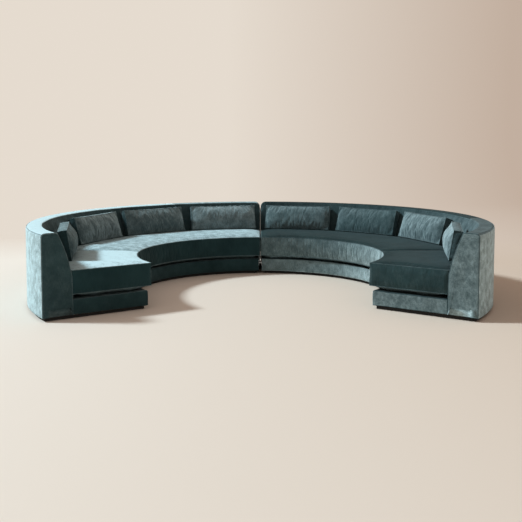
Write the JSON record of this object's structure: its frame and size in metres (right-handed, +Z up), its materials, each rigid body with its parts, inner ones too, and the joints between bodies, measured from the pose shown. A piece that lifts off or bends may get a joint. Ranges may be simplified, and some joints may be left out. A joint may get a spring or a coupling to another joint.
{
  "type": "curved sofa",
  "caption": "Low curved sectional sofa in velvet: two mirror-image sections that wrap round a circle, with seat cushions, leaning back pillows and a dark recessed plinth.",
  "frame": {"origin": "on the floor, at the middle of the sofa's bounding box, halfway between the two sections", "axes": "+Z up, +Y from the open side towards the middle of the back, +X to the right when looking along +Y into the open side"},
  "size_m": [4.4216, 3.4682, 0.74],
  "materials": {
    "back_velvet": "matte",
    "seat_velvet": "matte",
    "pillow_velvet": "matte",
    "plinth_black": "satin",
    "plywood": "matte",
    "foam": "matte",
    "filling": "matte",
    "felt": "matte",
    "dust_cloth": "matte",
    "webbing": "matte",
    "spring_steel": "satin",
    "zinc_steel": "satin",
    "nylon": "matte"
  },
  "bodies": {
    "left_section": {"left_plinth": "plinth_black", "left_glides": "nylon", "left_base_rails": "plywood", "left_base_cross_rails": "plywood", "left_seat_springs": "spring_steel", "left_spring_clips": "zinc_steel", "left_deck_pad": "felt", "left_base_cover": "back_velvet", "left_dust_cover": "dust_cloth", "left_frame_bolts": "zinc_steel", "left_back_ribs": "plywood", "left_back_bottom_rails": "plywood", "left_back_top_rail": "plywood", "left_back_panel": "plywood", "left_back_webbing": "webbing", "left_back_foam": "foam", "left_back_cover": "back_velvet", "left_joint_sockets": "zinc_steel"},
    "left_long_cushion": {"left_long_cushion_cover": "seat_velvet", "left_long_cushion_core": "foam"},
    "left_end_cushion": {"left_end_cushion_cover": "seat_velvet", "left_end_cushion_core": "foam"},
    "left_inner_pillow": {"left_inner_pillow_cover": "pillow_velvet", "left_inner_pillow_filling": "filling"},
    "left_middle_pillow": {"left_middle_pillow_cover": "pillow_velvet", "left_middle_pillow_filling": "filling"},
    "left_outer_pillow": {"left_outer_pillow_cover": "pillow_velvet", "left_outer_pillow_filling": "filling"},
    "left_arm_pillow": {"left_arm_pillow_cover": "pillow_velvet", "left_arm_pillow_filling": "filling"},
    "right_section": {"right_plinth": "plinth_black", "right_glides": "nylon", "right_base_rails": "plywood", "right_base_cross_rails": "plywood", "right_seat_springs": "spring_steel", "right_spring_clips": "zinc_steel", "right_deck_pad": "felt", "right_base_cover": "back_velvet", "right_dust_cover": "dust_cloth", "right_frame_bolts": "zinc_steel", "right_back_ribs": "plywood", "right_back_bottom_rails": "plywood", "right_back_top_rail": "plywood", "right_back_panel": "plywood", "right_back_webbing": "webbing", "right_back_foam": "foam", "right_back_cover": "back_velvet", "right_joint_tongues": "zinc_steel"},
    "right_long_cushion": {"right_long_cushion_cover": "seat_velvet", "right_long_cushion_core": "foam"},
    "right_end_cushion": {"right_end_cushion_cover": "seat_velvet", "right_end_cushion_core": "foam"},
    "right_inner_pillow": {"right_inner_pillow_cover": "pillow_velvet", "right_inner_pillow_filling": "filling"},
    "right_middle_pillow": {"right_middle_pillow_cover": "pillow_velvet", "right_middle_pillow_filling": "filling"},
    "right_outer_pillow": {"right_outer_pillow_cover": "pillow_velvet", "right_outer_pillow_filling": "filling"},
    "right_arm_pillow": {"right_arm_pillow_cover": "pillow_velvet", "right_arm_pillow_filling": "filling"}
  },
  "joints": [
    {"name": "sections_apart", "type": "slide", "parent": "left_section", "child": "right_section", "axis": [1, 0, 0], "range_m": [0, 0.4]},
    {"name": "left_long_cushion_lift", "type": "slide", "parent": "left_section", "child": "left_long_cushion", "axis": [0, 0, 1], "range_m": [0, 0.35]},
    {"name": "left_end_cushion_lift", "type": "slide", "parent": "left_section", "child": "left_end_cushion", "axis": [0, 0, 1], "range_m": [0, 0.35]},
    {"name": "left_inner_pillow_lift", "type": "slide", "parent": "left_long_cushion", "child": "left_inner_pillow", "axis": [0, 0, 1], "range_m": [0, 0.4]},
    {"name": "left_middle_pillow_lift", "type": "slide", "parent": "left_long_cushion", "child": "left_middle_pillow", "axis": [0, 0, 1], "range_m": [0, 0.4]},
    {"name": "left_outer_pillow_lift", "type": "slide", "parent": "left_long_cushion", "child": "left_outer_pillow", "axis": [0, 0, 1], "range_m": [0, 0.4]},
    {"name": "left_arm_pillow_lift", "type": "slide", "parent": "left_end_cushion", "child": "left_arm_pillow", "axis": [0, 0, 1], "range_m": [0, 0.4]},
    {"name": "right_long_cushion_lift", "type": "slide", "parent": "right_section", "child": "right_long_cushion", "axis": [0, 0, 1], "range_m": [0, 0.35]},
    {"name": "right_end_cushion_lift", "type": "slide", "parent": "right_section", "child": "right_end_cushion", "axis": [0, 0, 1], "range_m": [0, 0.35]},
    {"name": "right_inner_pillow_lift", "type": "slide", "parent": "right_long_cushion", "child": "right_inner_pillow", "axis": [0, 0, 1], "range_m": [0, 0.4]},
    {"name": "right_middle_pillow_lift", "type": "slide", "parent": "right_long_cushion", "child": "right_middle_pillow", "axis": [0, 0, 1], "range_m": [0, 0.4]},
    {"name": "right_outer_pillow_lift", "type": "slide", "parent": "right_long_cushion", "child": "right_outer_pillow", "axis": [0, 0, 1], "range_m": [0, 0.4]},
    {"name": "right_arm_pillow_lift", "type": "slide", "parent": "right_end_cushion", "child": "right_arm_pillow", "axis": [0, 0, 1], "range_m": [0, 0.4]}
  ]
}
